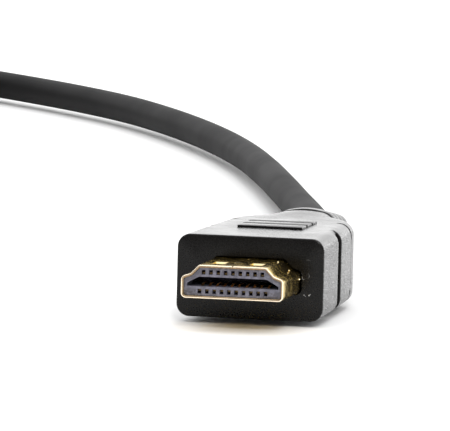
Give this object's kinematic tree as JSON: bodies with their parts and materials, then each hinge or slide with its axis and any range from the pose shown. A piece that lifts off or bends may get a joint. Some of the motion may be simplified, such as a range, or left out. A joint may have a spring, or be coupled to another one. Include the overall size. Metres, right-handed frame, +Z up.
{
  "type": "hdmi cable",
  "caption": "Round black video lead with a moulded plug on each end, part of it laid out in a long bend and the rest wound and tied.",
  "frame": {"origin": "on the supporting surface, below the middle of the near plug", "axes": "+Y from the near plug's mating face to its strain relief, +Z up, +X to the right seen from the mating face"},
  "size_m": [0.2258, 0.4011, 0.012],
  "materials": {
    "moulding": "black moulded vinyl, satin with a fine spark texture",
    "jacket": "charcoal vinyl cable jacket, satin",
    "gilding": "thin gold plating on stamped steel, slightly uneven",
    "insulation": "grey moulded insulator, matte",
    "contact": "bright gold-plated copper alloy",
    "strap": "black woven hook-and-loop strap"
  },
  "bodies": {
    "root": {"near_plug_overmould": "moulding", "near_plug_shell": "gilding", "near_plug_insulator": "insulation", "near_plug_upper_contact_1": "contact", "near_plug_upper_contact_2": "contact", "near_plug_upper_contact_3": "contact", "near_plug_upper_contact_4": "contact", "near_plug_upper_contact_5": "contact", "near_plug_upper_contact_6": "contact", "near_plug_upper_contact_7": "contact", "near_plug_upper_contact_8": "contact", "near_plug_upper_contact_9": "contact", "near_plug_lower_contact_1": "contact", "near_plug_lower_contact_2": "contact", "near_plug_lower_contact_3": "contact", "near_plug_lower_contact_4": "contact", "near_plug_lower_contact_5": "contact", "near_plug_lower_contact_6": "contact", "near_plug_lower_contact_7": "contact", "near_plug_lower_contact_8": "contact", "near_plug_lower_contact_9": "contact", "near_plug_lower_contact_10": "contact", "cable_lead": "jacket", "cable_coil": "jacket", "cable_tail": "jacket", "coil_tie": "strap", "far_plug_overmould": "moulding", "far_plug_shell": "gilding", "far_plug_insulator": "insulation", "far_plug_upper_contact_1": "contact", "far_plug_upper_contact_2": "contact", "far_plug_upper_contact_3": "contact", "far_plug_upper_contact_4": "contact", "far_plug_upper_contact_5": "contact", "far_plug_upper_contact_6": "contact", "far_plug_upper_contact_7": "contact", "far_plug_upper_contact_8": "contact", "far_plug_upper_contact_9": "contact", "far_plug_lower_contact_1": "contact", "far_plug_lower_contact_2": "contact", "far_plug_lower_contact_3": "contact", "far_plug_lower_contact_4": "contact", "far_plug_lower_contact_5": "contact", "far_plug_lower_contact_6": "contact", "far_plug_lower_contact_7": "contact", "far_plug_lower_contact_8": "contact", "far_plug_lower_contact_9": "contact", "far_plug_lower_contact_10": "contact"}
  },
  "joints": []
}
